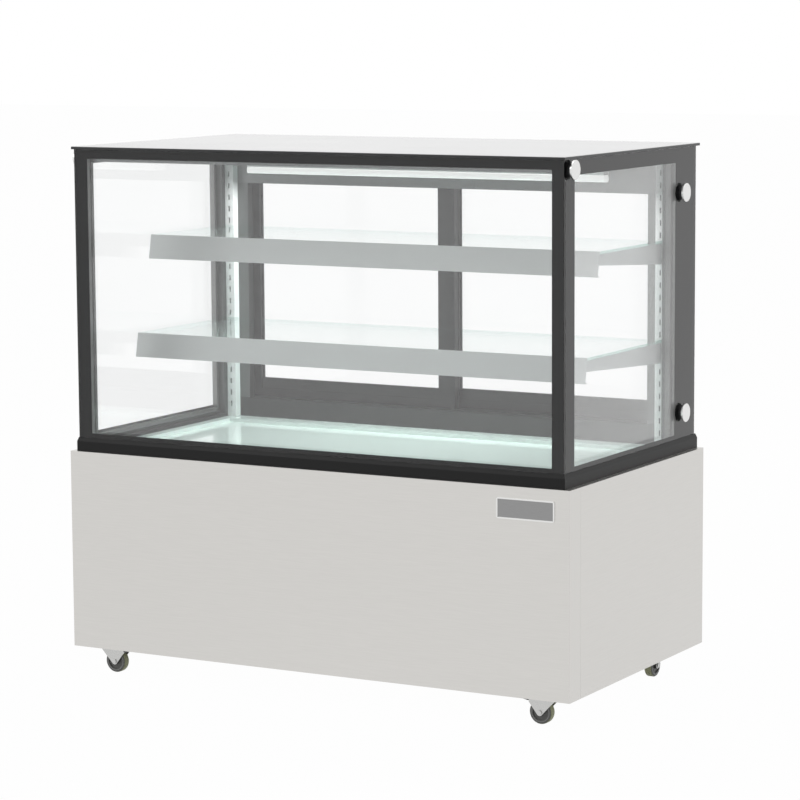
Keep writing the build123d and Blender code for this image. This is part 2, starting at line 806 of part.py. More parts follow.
blade_y = 234.0
with BuildPart(Plane(origin=(fan_x, blade_y, fan_z), z_dir=(0, 1, 0))) as condenser_fan_blades:
    fan_rotor(fan_r - 4.0, 24.0, 24.0, 40.0, shaft_r, 44.0, 5)
save(condenser_fan_blades, "condenser_fan_blades")


# Evaporator: a finned block on a foot strip, under the deck
evaporator_x = (-300.0, 300.0)
evaporator_y = (60.0, 130.0)
evaporator_z = (398.0, 476.0)
evaporator_rows = 4
fan_plate_y = (50.0, 53.0)
with BuildPart() as evaporator:
    finned_block(evaporator_x, evaporator_y, evaporator_z, 10.0, evaporator_rows)
    block(
        evaporator_x,
        (fan_plate_y[1] + joint_gap, evaporator_y[0] + 2.0),
        (well_floor, evaporator_z[0] + 2.0),
    )
save(evaporator, "evaporator")


# Evaporator fan: its plate and ring, with the motor on a bar across them
small_fan_y = 20.0
small_fan_z = 437.0
small_fan_r = 34.0
small_shaft_r = 2.5
small_motor_y = (34.0, 54.0)
with BuildPart() as evaporator_fan_mount:
    ring_ends = ((0, 8.0, small_fan_z), (0, fan_plate_y[1], small_fan_z))
    block((-60.0, 60.0), fan_plate_y, (well_floor, 480.0))
    rod(*ring_ends, small_fan_r + 7.0)
    rod(*ring_ends, small_fan_r + 4.0, Mode.SUBTRACT)
    rod((0, small_motor_y[0], small_fan_z), (0, small_motor_y[1], small_fan_z), 17.0)
    block((-small_fan_r - 5.0, small_fan_r + 5.0), (46.0, 50.0), (small_fan_z - 3.0, small_fan_z + 3.0))
    rod(
        (0, small_motor_y[0], small_fan_z),
        (0, small_motor_y[1] - 6.0, small_fan_z),
        small_shaft_r + axle_clearance,
        Mode.SUBTRACT,
    )
save(evaporator_fan_mount, "evaporator_fan_mount")

with BuildPart(Plane(origin=(0, small_fan_y, small_fan_z), z_dir=(0, -1, 0))) as evaporator_fan_blades:
    fan_rotor(small_fan_r, 10.0, 14.0, 14.0, small_shaft_r, 18.0, 5)
save(evaporator_fan_blades, "evaporator_fan_blades")


# Refrigerant pipes: straight runs joined by bends, ending on the pieces that they serve
def pipe(points, radius, bend):
    with BuildLine() as route:
        FilletPolyline(*points, radius=bend)
    with BuildSketch(Plane(origin=route.wire() @ 0, z_dir=route.wire() % 0)) as section:
        Circle(radius)
    sweep(section.sketch, path=route.wire())


coil_mid_y = sum(condenser_y) / 2
coil_pitch = (condenser_z[1] - condenser_z[0]) / condenser_rows
inlet_z = condenser_z[1] - coil_pitch / 2
outlet_z = condenser_z[0] + coil_pitch / 2
joint_space = 0.1
coil_end_x = coil_x[1] + tube_reach + joint_space
loop_x = 40.0
evaporator_pitch = (evaporator_z[1] - evaporator_z[0]) / evaporator_rows
liquid_z = evaporator_z[1] - evaporator_pitch / 2
suction_z = evaporator_z[0] + evaporator_pitch / 2
evaporator_end_x = evaporator_x[1] + tube_reach + joint_space
evaporator_mid_y = sum(evaporator_y) / 2
hole_x, hole_y = pipe_hole_at
liquid_y = hole_y + 7.0
suction_y = hole_y - 7.0
dryer_x = (200.0, 300.0)
with BuildPart() as refrigerant_pipes:
    pipe(
        [
            (coil_end_x, coil_mid_y, inlet_z),
            (loop_x, coil_mid_y, inlet_z),
            (loop_x, shell_y, inlet_z),
            (loop_x, shell_y, stub_z),
            (shell_x - stub_reach - joint_space, shell_y, stub_z),
        ],
        3.2,
        16.0,
    )
    pipe(
        [
            (coil_end_x, coil_mid_y, outlet_z),
            (hole_x, coil_mid_y, outlet_z),
            (hole_x, liquid_y, outlet_z),
            (hole_x, liquid_y, liquid_z),
            (hole_x, evaporator_mid_y, liquid_z),
            (evaporator_end_x, evaporator_mid_y, liquid_z),
        ],
        3.2,
        14.0,
    )
    rod((dryer_x[0], coil_mid_y, outlet_z), (dryer_x[1], coil_mid_y, outlet_z), 10.0)
    pipe(
        [
            (shell_x, shell_y + stub_reach + joint_space, stub_z),
            (shell_x, suction_y, stub_z),
            (hole_x, suction_y, stub_z),
            (hole_x, suction_y, suction_z),
            (hole_x, evaporator_mid_y, suction_z),
            (evaporator_end_x, evaporator_mid_y, suction_z),
        ],
        5.0,
        15.0,
    )
save(refrigerant_pipes, "refrigerant_pipes")


# Condensate tray under the well's drain
drip_x = (340.0, 540.0)
drip_y = (-140.0, 90.0)
drip_top = pan_floor + 32.0
drip_wall = 1.5
with BuildPart() as condensate_tray:
    block(drip_x, drip_y, (pan_floor, drip_top))
    block(
        (drip_x[0] + drip_wall, drip_x[1] - drip_wall),
        (drip_y[0] + drip_wall, drip_y[1] - drip_wall),
        (pan_floor + drip_wall, drip_top),
        Mode.SUBTRACT,
    )
save(condensate_tray, "condensate_tray")


# Control panel on the rear panel, with cut-outs for the controller and two rockers
controller_face = (78.0, 36.0)
controller_cut = (71.0, 29.0)
panel_thick = 1.2
plate_rear = rear_y + panel_thick
with BuildPart() as control_panel:
    with BuildSketch(Plane.XZ.offset(-plate_rear)):
        with Locations((control_centre_x, controller_at[1])):
            RectangleRounded(*control_plate, 4.0)
        with Locations(controller_at):
            Rectangle(controller_cut[0] + 0.4, controller_cut[1] + 0.4, mode=Mode.SUBTRACT)
        for switch_x in (light_switch_x, power_switch_x):
            with Locations((switch_x, controller_at[1])):
                Rectangle(rocker_size[0] + 0.6, rocker_size[1] + 0.6, mode=Mode.SUBTRACT)
    extrude(amount=panel_thick)
    for switch_x in (light_switch_x, power_switch_x):
        for wall in ((-1, switch_x), (1, switch_x)):
            low = wall[1] + wall[0] * (rocker_size[0] / 2 + 0.3)
            high = wall[1] + wall[0] * (rocker_size[0] / 2 + 2.3)
            cheek = sorted((low, high))
            middle = controller_at[1]
            block(cheek, (rear_y - 16.0, rear_y), (middle - rocker_size[1] / 2, middle + rocker_size[1] / 2))
        rod(
            (switch_x - 13.0, rear_y - 8.0, controller_at[1]),
            (switch_x + 13.0, rear_y - 8.0, controller_at[1]),
            1.5 + axle_clearance,
            Mode.SUBTRACT,
        )
save(control_panel, "control_panel")


# Temperature controller: a display face, a body behind the plate and two key wells
key_x = (controller_at[0] + 22.0, controller_at[0] + 31.0)
key_r = 3.2
key_z = controller_at[1] - 8.0
controller_depth = 50.0
with BuildPart() as temperature_controller:
    with BuildSketch(Plane.XZ.offset(-rear_y - proud)):
        with Locations(controller_at):
            RectangleRounded(*controller_face, 3.0)
    extrude(amount=proud - panel_thick)
    with Locations((controller_at[0], plate_rear - controller_depth / 2, controller_at[1])):
        Box(controller_cut[0], controller_depth, controller_cut[1])
    with BuildSketch(Plane.XZ.offset(-rear_y - proud)):
        with Locations((controller_at[0] - 10.0, controller_at[1] + 2.0)):
            RectangleRounded(44.0, 22.0, 1.5)
    extrude(amount=0.4, mode=Mode.SUBTRACT)
    for well_x in key_x:
        rod((well_x, rear_y - 5.0, key_z), (well_x, rear_y + proud, key_z), key_r + 0.1, Mode.SUBTRACT)
save(temperature_controller, "temperature_controller")

for well_x, node in zip(key_x, ("controller_down_key", "controller_up_key")):
    with BuildPart() as key:
        rod((well_x, rear_y - 3.4, key_z), (well_x, rear_y + proud - 0.2, key_z), key_r)
    save(key, node)


# Rocker switches: two shallow slopes that meet at the middle, tipped to one side on their pins
rocker_tip = radians(6.0)
rocker_along = (0, cos(rocker_tip), sin(rocker_tip))
for switch_x, node in ((light_switch_x, "light_switch"), (power_switch_x, "power_switch")):
    rocker_pin = (switch_x, rear_y - 8.0, controller_at[1])
    rocker_plane = Plane(origin=rocker_pin, x_dir=rocker_along, z_dir=(1, 0, 0))
    with BuildPart() as rocker:
        with BuildSketch(rocker_plane):
            with BuildLine():
                Polyline(
                    (-2.0, -7.0),
                    (-2.0, 7.0),
                    (6.5, 12.0),
                    (8.4, 12.0),
                    (6.6, 0.0),
                    (8.4, -12.0),
                    (6.5, -12.0),
                    close=True,
                )
            make_face()
        extrude(amount=rocker_size[0] / 2, both=True)
        rod(
            (switch_x - 12.0, rear_y - 8.0, controller_at[1]),
            (switch_x + 12.0, rear_y - 8.0, controller_at[1]),
            1.5,
        )
    save(rocker, node)


# Cord gland: a flanged bush that the supply cord passes through
gland_x, gland_z = gland_at
with BuildPart() as cord_gland:
    rod((gland_x, rear_y, gland_z), (gland_x, rear_y + proud, gland_z), 12.0)
    rod((gland_x, rear_y - 12.0, gland_z), (gland_x, rear_y, gland_z), 8.0)
    rod((gland_x, rear_panel_y - 4.0, gland_z), (gland_x, rear_panel_y - 0.2, gland_z), 11.0)
    rod((gland_x, rear_y - 13.0, gland_z), (gland_x, rear_y + proud, gland_z), gland_bore_r, Mode.SUBTRACT)
save(cord_gland, "cord_gland")


# Caster plates, bolted under the base pan
plate_size = (60.0, 50.0)
plate_thick = 2.5
plate_bottom = pan_bottom - plate_thick
caster_spots = [
    ("front_left", -caster_x, front_caster_y, (1, 0, 0), True),
    ("front_right", caster_x, front_caster_y, (-1, 0, 0), True),
    ("rear_left", -caster_x, rear_caster_y, (0, -1, 0), False),
    ("rear_right", caster_x, rear_caster_y, (0, -1, 0), False),
]
with BuildPart() as caster_plates:
    for _, spot_x, spot_y, _, _ in caster_spots:
        with Locations((spot_x, spot_y, pan_bottom - plate_thick / 2)):
            Box(*plate_size, plate_thick)
        with Locations((spot_x, spot_y, plate_bottom)):
            with GridLocations(plate_size[0] - 14.0, plate_size[1] - 14.0, 2, 2):
                Cylinder(4.5, 3.0, align=(Align.CENTER, Align.CENTER, Align.MAX))
        rod(
            (spot_x, spot_y, plate_bottom),
            (spot_x, spot_y, pan_bottom),
            kingpin_r + axle_clearance,
            Mode.SUBTRACT,
        )
save(caster_plates, "caster_plates")


# Caster forks, wheels and brake pedals, each in a frame along the caster's trail
leg_inner = fork_gap / 2
leg_outer = leg_inner + fork_sheet
fork_top = plate_bottom - 3.2
for name, spot_x, spot_y, trail_dir, braked in caster_spots:
    across = Vector(*trail_dir).cross(Vector(0, 0, 1))
    side_plane = Plane(origin=(spot_x, spot_y, 0), x_dir=trail_dir, z_dir=across)

    with BuildPart() as fork:
        with BuildSketch(side_plane.offset(-leg_outer)):
            with Locations((trail, wheel_r)):
                Circle(7.0)
            with Locations((3.0, fork_top - 2.5)):
                Rectangle(34.0, 5.0)
            if braked:
                with Locations(pedal_at):
                    Circle(4.5)
            make_hull()
        extrude(amount=2 * leg_outer)
        with BuildSketch(side_plane.offset(-leg_inner)):
            with Locations((trail, fork_top - fork_sheet - 50.0)):
                Rectangle(120.0, 100.0)
        extrude(amount=2 * leg_inner, mode=Mode.SUBTRACT)
        rod((spot_x, spot_y, fork_top - 0.5), (spot_x, spot_y, plate_bottom - 0.3), 17.0)
        rod((spot_x, spot_y, plate_bottom - 0.5), (spot_x, spot_y, pan_bottom - 0.2), kingpin_r)
        axle = [side_plane.from_local_coords((trail, wheel_r, end)) for end in (-leg_outer, leg_outer)]
        rod(axle[0], axle[1], axle_r)
        for end in (-1, 1):
            nut = [
                side_plane.from_local_coords((trail, wheel_r, end * reach))
                for reach in (leg_outer, leg_outer + 3.0)
            ]
            rod(nut[0], nut[1], 5.0)
        if braked:
            pin = [side_plane.from_local_coords((*pedal_at, end)) for end in (-leg_outer, leg_outer)]
            rod(pin[0], pin[1], pedal_pin_r)
    save(fork, f"{name}_caster_fork")

    hub_plane = Plane(
        origin=side_plane.from_local_coords((trail, wheel_r, 0)), x_dir=trail_dir, z_dir=side_plane.z_dir
    )
    with BuildPart(hub_plane) as wheel:
        Cylinder(wheel_r, wheel_width)
        fillet(wheel.edges().filter_by(GeomType.CIRCLE), 4.0)
        for face_z, depth_dir in ((wheel_width / 2, Align.MAX), (-wheel_width / 2, Align.MIN)):
            with Locations((0, 0, face_z)):
                Cylinder(17.0, 2.5, align=(Align.CENTER, Align.CENTER, depth_dir), mode=Mode.SUBTRACT)
                Cylinder(7.0, 2.5, align=(Align.CENTER, Align.CENTER, depth_dir))
        Cylinder(axle_r + axle_clearance, wheel_width + 1.0, mode=Mode.SUBTRACT)
    save(wheel, f"{name}_caster_wheel")

    if braked:
        with BuildPart() as pedal:
            with BuildSketch(side_plane.offset(-leg_inner + 0.7)):
                with Locations(pedal_at):
                    Circle(4.0)
                with BuildLine():
                    Polyline(
                        (pedal_at[0], pedal_at[1] + 3.0),
                        (pedal_at[0] + 8.0, pedal_at[1] + 5.0),
                        (pedal_at[0] + 8.0, pedal_at[1] + 1.5),
                        (pedal_at[0], pedal_at[1] - 3.0),
                        close=True,
                    )
                make_face()
            extrude(amount=fork_gap - 1.4)
            with BuildSketch(side_plane.offset(-leg_outer - 1.0)):
                with BuildLine():
                    Polyline(
                        (pedal_at[0] + 6.0, pedal_at[1] + 5.0),
                        (pedal_at[0] + 20.0, pedal_at[1] + 7.5),
                        (pedal_at[0] + 20.5, pedal_at[1] + 4.0),
                        (pedal_at[0] + 6.0, pedal_at[1] + 1.2),
                        close=True,
                    )
                make_face()
            extrude(amount=2 * leg_outer + 2.0)
            bore = [side_plane.from_local_coords((*pedal_at, end)) for end in (-leg_outer, leg_outer)]
            rod(bore[0], bore[1], pedal_pin_r + axle_clearance, Mode.SUBTRACT)
        save(pedal, f"{name}_brake_pedal")
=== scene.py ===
import math

import bmesh
import bpy
from mathutils import Matrix, Vector


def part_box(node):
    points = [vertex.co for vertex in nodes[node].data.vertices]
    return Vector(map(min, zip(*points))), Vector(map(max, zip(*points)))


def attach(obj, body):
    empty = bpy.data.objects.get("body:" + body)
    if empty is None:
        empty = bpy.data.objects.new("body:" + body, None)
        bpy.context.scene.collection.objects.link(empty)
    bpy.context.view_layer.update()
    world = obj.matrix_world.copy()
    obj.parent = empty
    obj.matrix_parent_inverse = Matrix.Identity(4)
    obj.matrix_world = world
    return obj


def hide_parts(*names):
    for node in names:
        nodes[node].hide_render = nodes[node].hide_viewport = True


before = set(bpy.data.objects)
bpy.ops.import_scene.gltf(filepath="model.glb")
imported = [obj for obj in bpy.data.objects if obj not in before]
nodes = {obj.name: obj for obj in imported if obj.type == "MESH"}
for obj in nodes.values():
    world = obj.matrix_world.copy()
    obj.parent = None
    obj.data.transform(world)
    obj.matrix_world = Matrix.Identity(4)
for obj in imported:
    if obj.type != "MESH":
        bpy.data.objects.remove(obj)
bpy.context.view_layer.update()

# Refrigerated display case, in metres: +X is the shopper's right, +Y the back, +Z up.


# Finishes

class Finish:
    """A material under construction, with short words for the nodes that it needs."""

    def __init__(self, name):
        self.material = bpy.data.materials.new(name)
        self.material.use_nodes = True
        self.tree = self.material.node_tree
        self.shader = self.tree.nodes["Principled BSDF"]
        self.output = self.tree.nodes["Material Output"]
        self.place = self.tree.nodes.new("ShaderNodeTexCoord").outputs["Object"]

    def node(self, kind, **settings):
        made = self.tree.nodes.new(kind)
        for key, value in settings.items():
            setattr(made, key, value)
        return made

    def feed(self, value, socket):
        """Link an output to a socket, or set a plain value on it."""
        if isinstance(value, bpy.types.NodeSocket):
            self.tree.links.new(value, socket)
        else:
            socket.default_value = value

    def set(self, **sockets):
        for key, value in sockets.items():
            socket = self.shader.inputs[key.replace("_", " ")]
            if isinstance(value, tuple) and len(value) == 3:
                value = (*value, 1.0)
            self.feed(value, socket)
        return self

    def math(self, operation, first, second=0.0):
        made = self.node("ShaderNodeMath", operation=operation)
        self.feed(first, made.inputs[0])
        self.feed(second, made.inputs[1])
        return made.outputs[0]

    def axis(self, which):
        split = self.node("ShaderNodeSeparateXYZ")
        self.feed(self.place, split.inputs[0])
        return split.outputs["XYZ".index(which)]

    def step(self, value, low, high):
        """0 below low, 1 above high, and a soft ramp between."""
        made = self.node("ShaderNodeMapRange")
        self.feed(value, made.inputs["Value"])
        made.inputs["From Min"].default_value = low
        made.inputs["From Max"].default_value = high
        return made.outputs["Result"]

    def spread(self, value, low, high):
        """The 0 to 1 of a pattern, spread from low to high."""
        made = self.node("ShaderNodeMapRange")
        self.feed(value, made.inputs["Value"])
        made.inputs["To Min"].default_value = low
        made.inputs["To Max"].default_value = high
        return made.outputs["Result"]

    def grain(self, size, stretch=(1.0, 1.0, 1.0), detail=4.0, turn=(0.0, 0.0, 0.0)):
        """A noise pattern whose spots are about size metres across, drawn out by stretch."""
        mapping = self.node("ShaderNodeMapping")
        self.feed(self.place, mapping.inputs["Vector"])
        mapping.inputs["Rotation"].default_value = turn
        mapping.inputs["Scale"].default_value = [1.0 / (size * reach) for reach in stretch]
        noise = self.node("ShaderNodeTexNoise")
        self.feed(mapping.outputs[0], noise.inputs["Vector"])
        noise.inputs["Scale"].default_value = 1.0
        noise.inputs["Detail"].default_value = detail
        return noise.outputs["Fac"]

    def blend(self, factor, first, second):
        made = self.node("ShaderNodeMix", data_type="RGBA")
        colours = [socket for socket in made.inputs if socket.type == "RGBA"]
        self.feed(factor, made.inputs["Factor"])
        self.feed((*first, 1.0) if isinstance(first, tuple) else first, colours[0])
        self.feed((*second, 1.0) if isinstance(second, tuple) else second, colours[1])
        return next(socket for socket in made.outputs if socket.type == "RGBA")

    def relief(self, height, depth, strength=1.0):
        bump = self.node("ShaderNodeBump")
        self.feed(height, bump.inputs["Height"])
        bump.inputs["Distance"].default_value = depth
        bump.inputs["Strength"].default_value = strength
        self.feed(bump.outputs["Normal"], self.shader.inputs["Normal"])
        return self


def shade(colour, by):
    return tuple(max(0.0, min(1.0, part * by)) for part in colour)


def brushed_steel(name, colour, along, rough=(0.24, 0.36), contrast=0.06):
    """Sheet steel with fine brush lines along one axis, and slow patches of wear."""
    finish = Finish(name)
    stretch = [60.0 if letter == along else 1.0 for letter in "XYZ"]
    lines = finish.grain(0.0009, stretch, 3.0)
    patches = finish.grain(0.25, detail=2.0)
    finish.set(
        Base_Color=finish.blend(lines, shade(colour, 1 - contrast), shade(colour, 1 + contrast)),
        Metallic=1.0,
        Roughness=finish.spread(
            finish.math("MULTIPLY_ADD", lines, finish.math("MULTIPLY", patches, 0.6)), *rough
        ),
    )
    return finish.relief(lines, 0.00004, 0.35).material


def dull_steel(name, colour):
    """Zinc-coated sheet with faint crystal patches."""
    finish = Finish(name)
    cells = finish.node("ShaderNodeTexVoronoi", feature="F1")
    finish.feed(finish.place, cells.inputs["Vector"])
    cells.inputs["Scale"].default_value = 95.0
    speck = finish.node("ShaderNodeSeparateColor")
    finish.feed(cells.outputs["Color"], speck.inputs[0])
    finish.set(
        Base_Color=finish.blend(speck.outputs[0], shade(colour, 0.965), shade(colour, 1.02)),
        Metallic=1.0,
        Roughness=finish.spread(speck.outputs[1], 0.38, 0.44),
    )
    return finish.relief(finish.grain(0.002), 0.00003, 0.3).material


def bright_metal(name, colour, rough=(0.16, 0.26)):
    finish = Finish(name)
    haze = finish.grain(0.003, detail=3.0)
    finish.set(
        Base_Color=finish.blend(haze, shade(colour, 0.95), shade(colour, 1.03)),
        Metallic=1.0,
        Roughness=finish.spread(haze, *rough),
    )
    return finish.relief(haze, 0.00002, 0.2).material


def satin_aluminium(name, colour, along="Z", rough=(0.3, 0.42), metal=0.9):
    """Extruded bar with faint die lines along its length."""
    finish = Finish(name)
    stretch = [80.0 if letter == along else 1.0 for letter in "XYZ"]
    lines = finish.grain(0.0006, stretch, 2.0)
    finish.set(
        Base_Color=finish.blend(lines, shade(colour, 0.94), shade(colour, 1.05)),
        Metallic=metal,
        Roughness=finish.spread(lines, *rough),
    )
    return finish.relief(lines, 0.00002, 0.3).material


def powder_coat(name, colour, rough=(0.36, 0.48), texture=0.00003, sheen=0.5):
    finish = Finish(name)
    peel = finish.grain(0.0012, detail=2.0)
    dust = finish.grain(0.06, detail=3.0)
    finish.set(
        Base_Color=finish.blend(dust, shade(colour, 0.9), shade(colour, 1.15)),
        Roughness=finish.spread(peel, *rough),
        Specular_IOR_Level=sheen,
    )
    return finish.relief(peel, texture, 0.5).material


def enamel(name, colour, rough=(0.06, 0.12), coat=0.6):
    """Glossy paint on sheet metal."""
    finish = Finish(name)
    waves = finish.grain(0.05, detail=1.0)
    finish.set(
        Base_Color=finish.blend(waves, shade(colour, 0.985), shade(colour, 1.01)),
        Roughness=finish.spread(waves, *rough),
        Coat_Weight=coat,
        Coat_Roughness=0.04,
    )
    return finish.relief(waves, 0.0001, 0.1).material


def moulded(name, colour, rough=(0.42, 0.58), grain=0.0008, depth=0.00004):
    """Moulded plastic or rubber with a fine grain."""
    finish = Finish(name)
    pebbles = finish.grain(grain, detail=2.0)
    finish.set(
        Base_Color=finish.blend(pebbles, shade(colour, 0.9), shade(colour, 1.12)),
        Roughness=finish.spread(pebbles, *rough),
    )
    return finish.relief(pebbles, depth, 0.5).material


def clear_glass(name, tint, edge_tint=(0.3, 0.4, 0.37), edges=None, mirror=0.034):
    """A pane: it lets light straight through with a faint tint, and mirrors more at a low angle.

    edges gives, for each axis, between which places the pane is clear: beyond them is its cut edge.
    mirror is the share of light that it mirrors face on.
    """
    finish = Finish(name)
    finish.tree.nodes.remove(finish.shader)
    clear = finish.node("ShaderNodeBsdfTransparent")
    smear = finish.grain(0.3, detail=3.0)
    body = finish.blend(smear, tint, shade(tint, 0.994))
    if edges:
        mask = 0.0
        for letter, (low, high) in edges.items():
            where = finish.axis(letter)
            mask = finish.math("MAXIMUM", mask, finish.math("GREATER_THAN", where, high))
            mask = finish.math("MAXIMUM", mask, finish.math("LESS_THAN", where, low))
        body = finish.blend(mask, body, edge_tint)
    finish.feed(body, clear.inputs["Color"])
    gloss = finish.node("ShaderNodeBsdfGlossy")
    gloss.inputs["Color"].default_value = (1.0, 1.0, 1.0, 1.0)
    finish.feed(finish.spread(smear, 0.0, 0.02), gloss.inputs["Roughness"])
    angle = finish.node("ShaderNodeLayerWeight")
    angle.inputs["Blend"].default_value = 0.5
    glance = finish.math("POWER", angle.outputs["Facing"], 5.0)
    mix = finish.node("ShaderNodeMixShader")
    finish.feed(finish.spread(glance, mirror, 1.0), mix.inputs[0])
    finish.feed(clear.outputs[0], mix.inputs[1])
    finish.feed(gloss.outputs[0], mix.inputs[2])
    finish.feed(mix.outputs[0], finish.output.inputs["Surface"])
    return finish.material


def white_lamp(name, strength):
    """A white diffuser that glows evenly."""
    finish = Finish(name)
    frost = finish.grain(0.002, detail=2.0)
    finish.set(
        Base_Color=finish.blend(frost, (0.86, 0.87, 0.87), (0.92, 0.93, 0.93)),
        Roughness=finish.spread(frost, 0.45, 0.6),
        Emission_Color=(1.0, 1.0, 0.98),
        Emission_Strength=strength,
    )
    return finish.material


def painted_slab(name):
    """A polished top: pale on its upper face, dark along its edge and underneath."""
    finish = Finish(name)
    upper = finish.step(finish.axis("Z"), 1.1441, 1.1446)
    waves = finish.grain(0.4, detail=2.0)
    pale = finish.blend(waves, (0.46, 0.46, 0.455), (0.50, 0.50, 0.495))
    finish.set(
        Base_Color=finish.blend(upper, (0.02, 0.021, 0.022), pale),
        Roughness=finish.spread(waves, 0.1, 0.16),
    )
    return finish.material


def printed_border(name):
    """Black ink under the glass."""
    finish = Finish(name)
    ink = finish.grain(0.08, detail=2.0)
    finish.set(
        Base_Color=finish.blend(ink, (0.016, 0.0165, 0.0165), (0.021, 0.0215, 0.0215)),
        Roughness=finish.spread(ink, 0.3, 0.42),
        Specular_IOR_Level=0.0,
    )
    return finish.material


def caster_wheel(name, centre, across):
    """A wheel with a grey face, a dark hub and a yellowish tread."""
    finish = Finish(name)
    reach = 0.0
    for letter, middle in zip("XYZ", centre):
        if letter != across:
            offset = finish.math("SUBTRACT", finish.axis(letter), middle)
            reach = finish.math("ADD", reach, finish.math("MULTIPLY", offset, offset))
    reach = finish.math("SQRT", reach)
    tread = finish.step(reach, 0.0236, 0.0242)
    line = finish.math("MULTIPLY", finish.step(reach, 0.0186, 0.0192), finish.step(reach, 0.0206, 0.02))
    hub = finish.step(reach, 0.0072, 0.0068)
    scuffs = finish.grain(0.004, detail=4.0)
    face = finish.blend(scuffs, (0.10, 0.10, 0.095), (0.17, 0.17, 0.16))
    ring = finish.blend(scuffs, (0.30, 0.31, 0.17), (0.44, 0.45, 0.27))
    side = finish.blend(line, finish.blend(tread, face, ring), (0.34, 0.34, 0.33))
    finish.set(
        Base_Color=finish.blend(hub, side, (0.03, 0.03, 0.03)),
        Roughness=finish.spread(scuffs, 0.4, 0.62),
    )
    return finish.relief(scuffs, 0.00008, 0.4).material


def badge_metal(name):
    """Bright raised rim round a darker, finely brushed field."""
    finish = Finish(name)
    low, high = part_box("badge_plate")
    middle = (low + high) / 2
    across = finish.math("ABSOLUTE", finish.math("SUBTRACT", finish.axis("X"), middle.x))
    up = finish.math("ABSOLUTE", finish.math("SUBTRACT", finish.axis("Z"), middle.z))
    half = (high - low) / 2
    rim = finish.math(
        "MAXIMUM",
        finish.math("GREATER_THAN", across, half.x - 0.0031),
        finish.math("GREATER_THAN", up, half.z - 0.0031),
    )
    lines = finish.grain(0.0004, (40.0, 1.0, 1.0), 2.0)
    field = finish.blend(lines, (0.25, 0.25, 0.25), (0.33, 0.33, 0.33))
    finish.set(
        Base_Color=finish.blend(rim, field, (0.78, 0.78, 0.77)),
        Metallic=1.0,
        Roughness=finish.spread(lines, 0.24, 0.38),
    )
    return finish.relief(lines, 0.00002, 0.3).material


def dress(finish, *names):
    """Give CAD nodes a finish."""
    for name in names:
        slots = nodes[name].material_slots
        if not slots:
            nodes[name].data.materials.append(finish)
        for slot in slots:
            slot.material = finish


STEEL = (0.65, 0.638, 0.615)
front_steel = brushed_steel("cabinet_front_steel", STEEL, "X")
side_steel = brushed_steel("cabinet_side_steel", STEEL, "Y")
zinc_sheet = dull_steel("zinc_sheet", (0.58, 0.59, 0.59))
zinc_plate = bright_metal("zinc_plate", (0.56, 0.56, 0.55), (0.22, 0.34))
satin_cap = bright_metal("satin_cap", (0.78, 0.78, 0.77), (0.2, 0.3))
black_coat = powder_coat("black_trim_coat", (0.009, 0.009, 0.009), (0.36, 0.46), sheen=0.22)
ink = printed_border("black_glass_print")
black_plastic = moulded("black_plastic", (0.03, 0.03, 0.031))
black_rubber = moulded("black_rubber", (0.022, 0.022, 0.022), (0.6, 0.75))
CLEAR = (0.999, 1.0, 1.0)
pane = clear_glass("door_pane", CLEAR, mirror=0.016)
profile = satin_aluminium("grey_profile", (0.10, 0.108, 0.106))
dark_profile = satin_aluminium("dark_profile", (0.022, 0.023, 0.023))
sill_profile = satin_aluminium("sill_profile", (0.034, 0.037, 0.036), "X")
long_profile = satin_aluminium("long_grey_profile", (0.15, 0.162, 0.16), "X")
rail_metal = satin_aluminium("rail_metal", (0.54, 0.57, 0.56), "X", (0.34, 0.44), 0.3)
pale_profile = enamel("pale_profile", (0.84, 0.86, 0.855), (0.2, 0.3), 0.2)
spacer_bar = satin_aluminium("spacer_bar", (0.2, 0.2, 0.2))
pale_steel = enamel("pale_grey_enamel", (0.62, 0.65, 0.64), (0.18, 0.26), 0.3)
deck_enamel = enamel("white_deck_enamel", (0.735, 0.805, 0.78), (0.1, 0.18), 0.5)

dress(front_steel, "front_panel")
dress(side_steel, "left_side_panel", "right_side_panel")
dress(zinc_sheet, "base_pan", "rear_panel", "condensate_tray", "condenser_fan_shroud",
      "evaporator_fan_mount")
dress(zinc_plate, "caster_plates", "front_left_caster_fork", "front_right_caster_fork",
      "rear_left_caster_fork", "rear_right_caster_fork")
dress(satin_cap, "glass_fixing_caps")
dress(black_coat, "plinth_frame")
dress(badge_metal("bare_badge"), "badge_plate")
dress(black_plastic, "glass_fixing_necks", "control_panel", "temperature_controller", "light_switch",
      "power_switch", "cord_gland", "front_left_brake_pedal", "front_right_brake_pedal",
      "evaporator_fan_blades")
dress(black_rubber, "corner_seals")
dress(pane, "left_door_glass", "right_door_glass")
dress(profile, "rear_posts")
dress(dark_profile, "left_door_frame", "right_door_frame")
dress(long_profile, "rear_header", "front_header")
dress(sill_profile, "rear_sill")
dress(pale_profile, "shelf_standards", "lamp_rail")
dress(spacer_bar, "glass_spacers")
dress(pale_steel, "shelf_brackets")
dress(rail_metal, "shelf_front_rails")
dress(deck_enamel, "deck_pan")
dress(painted_slab("painted_top_glass"), "top_panel")
dress(white_lamp("lamp_diffuser_glow", 0.55), "lamp_diffuser")
dress(moulded("well_foam", (0.62, 0.58, 0.45), (0.7, 0.85), 0.003, 0.0002), "insulated_well")
dress(enamel("compressor_enamel", (0.02, 0.02, 0.021), (0.2, 0.3), 0.3), "compressor")
dress(bright_metal("fin_metal", (0.7, 0.71, 0.72), (0.3, 0.42)), "condenser_coil", "evaporator",
      "condenser_fan_blades")
dress(bright_metal("drawn_copper", (0.72, 0.36, 0.22), (0.22, 0.34)), "refrigerant_pipes")
dress(moulded("grey_rubber", (0.35, 0.35, 0.35)), "controller_up_key", "controller_down_key")
BLACK_RIM = (0.02, 0.02, 0.02)
SHELF_TINT = (0.935, 0.967, 0.957)
